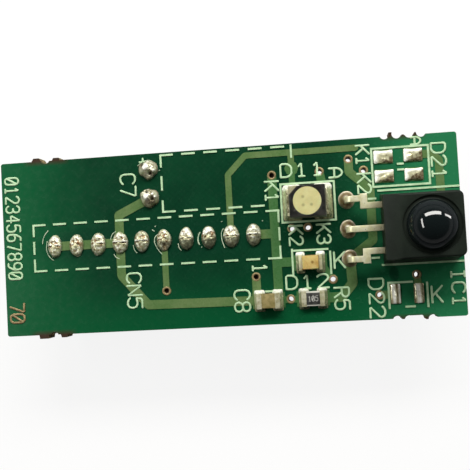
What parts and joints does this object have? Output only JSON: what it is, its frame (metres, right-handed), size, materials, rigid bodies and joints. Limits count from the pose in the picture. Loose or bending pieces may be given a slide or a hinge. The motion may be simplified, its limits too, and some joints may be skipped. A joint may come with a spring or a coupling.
{
  "type": "remote control receiver",
  "caption": "Small circuit board with a domed infrared receiver, indicator LEDs and a shrouded header on its back.",
  "frame": {"origin": "centre of the board's outline in X and Y, at the mouth rim of the header that it stands on", "axes": "+X along the board towards the receiver, +Y across it towards the spare LED pads, +Z out of the front face"},
  "size_m": [0.0406, 0.0164, 0.013],
  "materials": {
    "laminate": "solder mask over glass-epoxy laminate",
    "masked_copper": "copper seen through the solder mask",
    "bare_copper": "plated copper ring",
    "ink": "printed silkscreen ink",
    "header_nylon": "moulded nylon",
    "tin_plate": "tin plated metal",
    "solder": "reflowed and wave soldered joint",
    "can_metal": "drawn aluminium",
    "sleeve_film": "shrunk plastic film",
    "bung_rubber": "moulded rubber",
    "winding_paper": "wound foil and paper",
    "led_housing": "moulded, black face",
    "led_window": "milky casting resin",
    "led_lens": "tinted epoxy",
    "led_base": "bismaleimide substrate",
    "die": "semiconductor",
    "capacitor_ceramic": "fired ceramic",
    "resistor_ceramic": "alumina",
    "resistor_coat": "black glaze",
    "receiver_epoxy": "infrared passing moulding compound"
  },
  "bodies": {
    "root": {"board": "laminate", "front_copper": "masked_copper", "back_copper": "masked_copper", "via_barrels": "bare_copper", "silkscreen": "ink", "header_shroud": "header_nylon", "header_solder": "solder", "capacitor_can": "can_metal", "capacitor_sleeve": "sleeve_film", "capacitor_bung": "bung_rubber", "capacitor_winding": "winding_paper", "capacitor_lead_plus": "tin_plate", "capacitor_lead_minus": "tin_plate", "capacitor_solder": "solder", "rgb_led_housing": "led_housing", "rgb_led_window": "led_window", "rgb_led_dice": "die", "rgb_led_solder": "solder", "chip_led_base": "led_base", "chip_led_lens": "led_lens", "chip_led_die": "die", "chip_led_terminal_left": "tin_plate", "chip_led_terminal_right": "tin_plate", "chip_led_solder": "solder", "chip_capacitor_body": "capacitor_ceramic", "chip_capacitor_cap_left": "tin_plate", "chip_capacitor_cap_right": "tin_plate", "chip_capacitor_solder": "solder", "chip_resistor_body": "resistor_ceramic", "chip_resistor_coat": "resistor_coat", "chip_resistor_cap_left": "tin_plate", "chip_resistor_cap_right": "tin_plate", "chip_resistor_solder": "solder", "receiver_body": "receiver_epoxy", "receiver_lead_upper": "tin_plate", "receiver_lead_middle": "tin_plate", "receiver_lead_lower": "tin_plate", "photodiode_die": "die", "amplifier_die": "die", "receiver_solder": "solder", "spare_pad_tin": "solder", "header_pin_1": "tin_plate", "header_pin_2": "tin_plate", "header_pin_3": "tin_plate", "header_pin_4": "tin_plate", "header_pin_5": "tin_plate", "header_pin_6": "tin_plate", "header_pin_7": "tin_plate", "header_pin_8": "tin_plate", "header_pin_9": "tin_plate", "header_pin_10": "tin_plate", "rgb_led_terminal_1": "tin_plate", "rgb_led_terminal_2": "tin_plate", "rgb_led_terminal_3": "tin_plate", "rgb_led_terminal_4": "tin_plate"}
  },
  "joints": []
}
